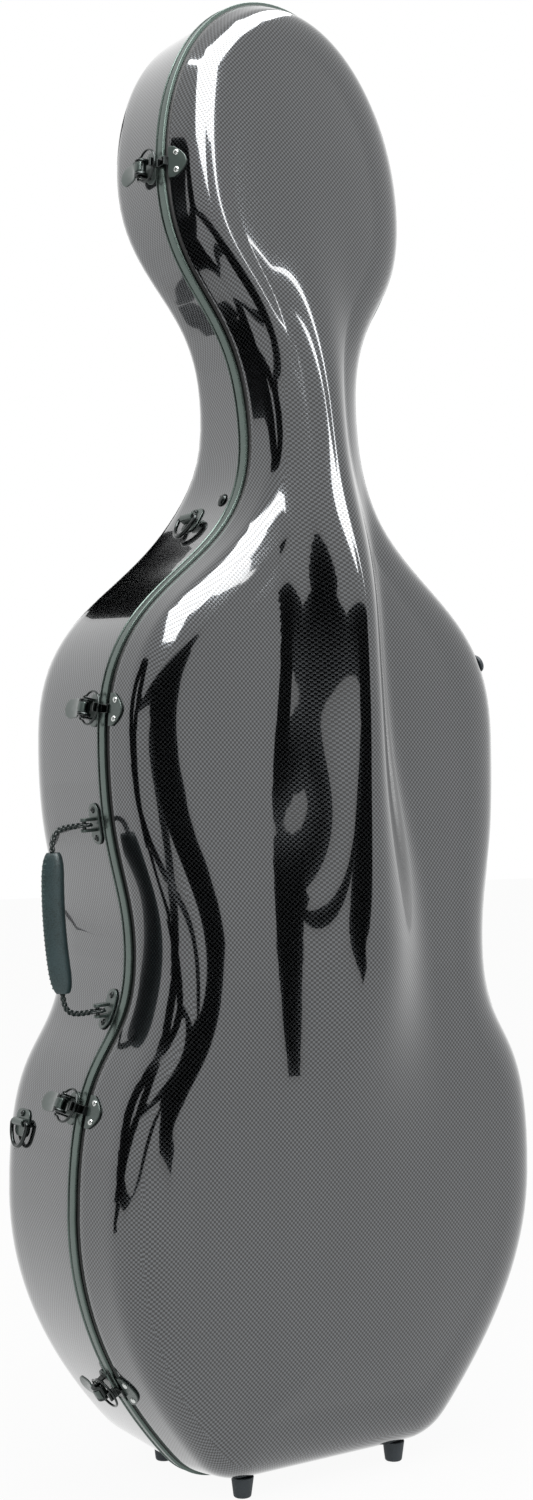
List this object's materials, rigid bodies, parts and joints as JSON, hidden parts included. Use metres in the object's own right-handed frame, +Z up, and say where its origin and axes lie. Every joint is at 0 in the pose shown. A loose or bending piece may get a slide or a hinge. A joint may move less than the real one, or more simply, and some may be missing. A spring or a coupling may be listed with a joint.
{
  "type": "cello hard case",
  "caption": "Hard case for a cello: ridged lid hinged to a deep back shell, draw latches, leather side handle, strap rings, rubber feet and a padded inside.",
  "frame": {"origin": "under the middle of the case's bounding box, on the floor plane of its feet", "axes": "+Z up along the case to the head, -Y out of the lid, the latches and handle on -X and the hinges on +X"},
  "size_m": [0.521, 0.296, 1.3827],
  "materials": {
    "carbon": "clear-coated plain-weave carbon fibre, glossy",
    "rim_metal": "green-grey coated aluminium, satin",
    "fitting_metal": "green-grey coated metal, semi-gloss",
    "wire": "black polished steel wire",
    "gasket": "black soft rubber, matt",
    "rubber": "dark slate rubber, matt",
    "leather": "dark green leather, stitched, semi-matt",
    "lining": "dark grey velour over foam, matt"
  },
  "bodies": {
    "back": {"back_shell": "carbon", "back_lining": "lining", "neck_cradle": "lining", "neck_strap": "lining", "upper_pad_left": "lining", "upper_pad_right": "lining", "lower_pad_left": "lining", "lower_pad_right": "lining", "end_pad": "lining", "back_rim_profile": "rim_metal", "rim_gasket": "gasket", "latch_base_head": "fitting_metal", "latch_base_upper": "fitting_metal", "latch_base_lower": "fitting_metal", "latch_base_base": "fitting_metal", "hinge_back_leaf_upper": "fitting_metal", "handle_anchor_upper": "fitting_metal", "hinge_pin_upper": "wire", "side_foot_back_upper": "rubber", "hinge_back_leaf_lower": "fitting_metal", "handle_anchor_lower": "fitting_metal", "hinge_pin_lower": "wire", "side_foot_back_lower": "rubber", "strap_plate_upper_left": "fitting_metal", "strap_plate_upper_right": "fitting_metal", "strap_plate_lower_left": "fitting_metal", "strap_plate_lower_right": "fitting_metal", "foot_back_left": "rubber", "strap_rivet_left": "fitting_metal", "foot_back_right": "rubber", "strap_rivet_right": "fitting_metal"},
    "lid": {"lid_shell": "carbon", "lid_lining": "lining", "lid_rim_profile": "rim_metal", "latch_catch_head": "fitting_metal", "latch_catch_upper": "fitting_metal", "latch_catch_lower": "fitting_metal", "latch_catch_base": "fitting_metal", "hinge_lid_leaf_upper": "fitting_metal", "hinge_lid_leaf_lower": "fitting_metal", "foot_lid_left": "rubber", "foot_lid_right": "rubber", "side_foot_lid_upper": "rubber", "side_foot_lid_lower": "rubber"},
    "lever_head": {"latch_lever_head": "fitting_metal"},
    "bail_head": {"latch_bail_head": "wire"},
    "lever_upper": {"latch_lever_upper": "fitting_metal"},
    "bail_upper": {"latch_bail_upper": "wire"},
    "lever_lower": {"latch_lever_lower": "fitting_metal"},
    "bail_lower": {"latch_bail_lower": "wire"},
    "lever_base": {"latch_lever_base": "fitting_metal"},
    "bail_base": {"latch_bail_base": "wire"},
    "ring_upper_left": {"strap_ring_upper_left": "wire"},
    "ring_upper_right": {"strap_ring_upper_right": "wire"},
    "ring_lower_left": {"strap_ring_lower_left": "wire"},
    "ring_lower_right": {"strap_ring_lower_right": "wire"},
    "handle": {"handle_link_upper": "leather", "handle_link_lower": "leather", "handle_grip": "leather"}
  },
  "joints": [
    {"name": "lid_hinge", "type": "hinge", "parent": "back", "child": "lid", "pos_m": [0.25483, -0.02791, 0.25], "axis": [-0.0686, 0, 0.9976], "range_deg": [0, 110]},
    {"name": "lever_head_pivot", "type": "hinge", "parent": "back", "child": "lever_head", "pos_m": [-0.13708, 0.0278, 1.20352], "axis": [0.0931, 0.0972, 0.9909], "range_deg": [0, 120]},
    {"name": "bail_head_pivot", "type": "hinge", "parent": "lever_head", "child": "bail_head", "pos_m": [-0.13712, 0.03227, 1.20308], "axis": [0.0931, 0.0972, 0.9909], "range_deg": [-156, 0]},
    {"name": "lever_upper_pivot", "type": "hinge", "parent": "back", "child": "lever_upper", "pos_m": [-0.2137, -0.00101, 0.70794], "axis": [0.1936, 0, 0.9811], "range_deg": [0, 120]},
    {"name": "bail_upper_pivot", "type": "hinge", "parent": "lever_upper", "child": "bail_upper", "pos_m": [-0.2137, 0.00349, 0.70794], "axis": [0.1936, 0, 0.9811], "range_deg": [-156, 0]},
    {"name": "lever_lower_pivot", "type": "hinge", "parent": "back", "child": "lever_lower", "pos_m": [-0.23692, -0.00101, 0.35995], "axis": [0.3952, 0, 0.9186], "range_deg": [0, 120]},
    {"name": "bail_lower_pivot", "type": "hinge", "parent": "lever_lower", "child": "bail_lower", "pos_m": [-0.23692, 0.00349, 0.35995], "axis": [0.3952, 0, 0.9186], "range_deg": [-156, 0]},
    {"name": "lever_base_pivot", "type": "hinge", "parent": "back", "child": "lever_base", "pos_m": [-0.19733, -0.00101, 0.10173], "axis": [-0.5267, 0, 0.85], "range_deg": [0, 120]},
    {"name": "bail_base_pivot", "type": "hinge", "parent": "lever_base", "child": "bail_base", "pos_m": [-0.19733, 0.00349, 0.10173], "axis": [-0.5267, 0, 0.85], "range_deg": [-156, 0]},
    {"name": "handle_swing", "type": "hinge", "parent": "back", "child": "handle", "pos_m": [-0.20503, 0.00299, 0.52131], "axis": [0.0829, 0, -0.9966], "range_deg": [-70, 70]},
    {"name": "ring_upper_left_swing", "type": "hinge", "parent": "back", "child": "ring_upper_left", "pos_m": [-0.07427, 0.04527, 0.89028], "axis": [0.0288, 0.9983, -0.051], "range_deg": [0, 150]},
    {"name": "ring_upper_right_swing", "type": "hinge", "parent": "back", "child": "ring_upper_right", "pos_m": [0.0826, 0.04527, 0.89028], "axis": [0.0288, -0.9983, 0.051], "range_deg": [0, 150]},
    {"name": "ring_lower_left_swing", "type": "hinge", "parent": "back", "child": "ring_lower_left", "pos_m": [-0.23022, 0.08696, 0.33201], "axis": [0.0521, 0.9986, -0.0051], "range_deg": [0, 150]},
    {"name": "ring_lower_right_swing", "type": "hinge", "parent": "back", "child": "ring_lower_right", "pos_m": [0.23855, 0.08696, 0.33201], "axis": [0.0521, -0.9986, 0.0051], "range_deg": [0, 150]}
  ],
  "couplings": [
    {"joint": "bail_head_pivot", "follows": "lever_head_pivot", "ratio": -1.3},
    {"joint": "bail_upper_pivot", "follows": "lever_upper_pivot", "ratio": -1.3},
    {"joint": "bail_lower_pivot", "follows": "lever_lower_pivot", "ratio": -1.3},
    {"joint": "bail_base_pivot", "follows": "lever_base_pivot", "ratio": -1.3}
  ]
}
